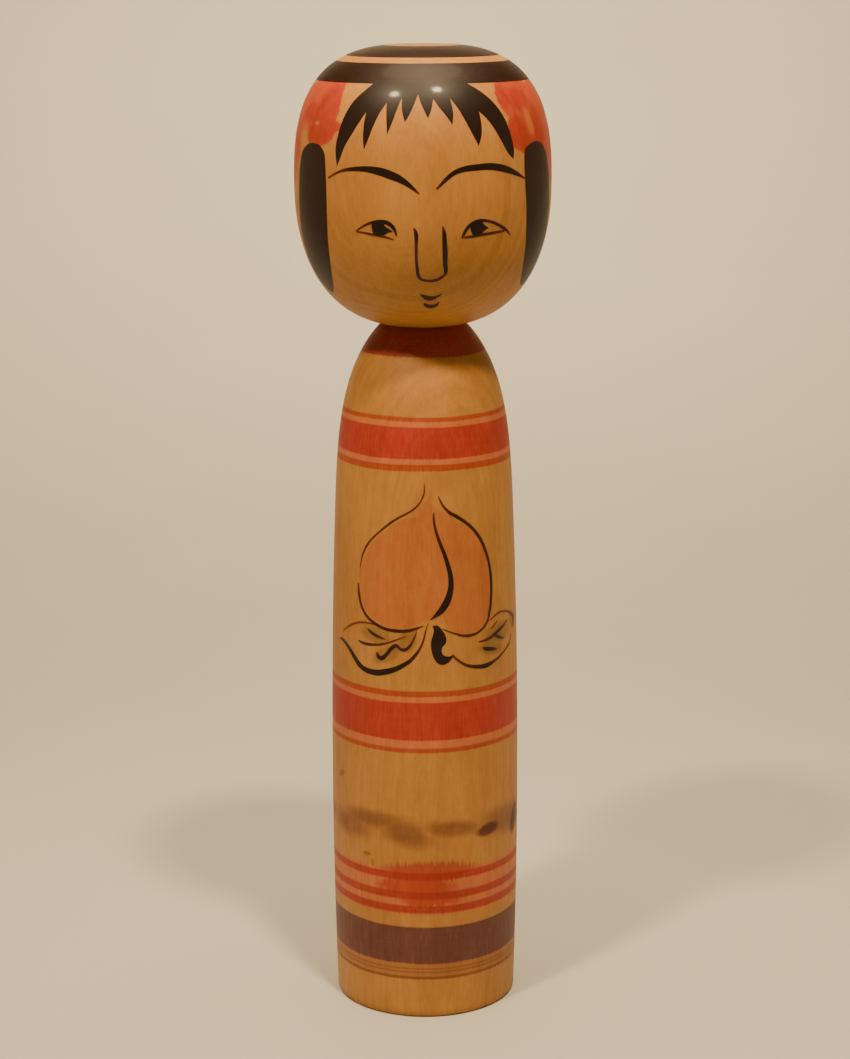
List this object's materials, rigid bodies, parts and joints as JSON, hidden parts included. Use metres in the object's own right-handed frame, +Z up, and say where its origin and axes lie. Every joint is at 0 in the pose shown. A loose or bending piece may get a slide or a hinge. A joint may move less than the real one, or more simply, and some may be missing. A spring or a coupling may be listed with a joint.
{
  "type": "kokeshi doll",
  "caption": "Turned wooden standing doll with a large round head, snapped into its tapered body so that it turns, painted with a face, a fruit and bands.",
  "frame": {"origin": "centre of the flat foot, where the doll's axis meets the table", "axes": "+Z up the doll's turned axis; the painted face and fruit look along -Y; +X is to the right of someone who faces the doll"},
  "size_m": [0.0624, 0.0622, 0.24],
  "materials": {
    "body_wood": "waxed",
    "head_wood": "waxed",
    "black_ink": "waxed brush ink"
  },
  "bodies": {
    "body": {"body": "body_wood"},
    "head": {"head": "head_wood"}
  },
  "joints": [
    {"name": "head_turn", "type": "hinge", "parent": "body", "child": "head", "pos_m": [0, 0, 0.1734], "axis": [0, 0, 1], "continuous": true}
  ]
}
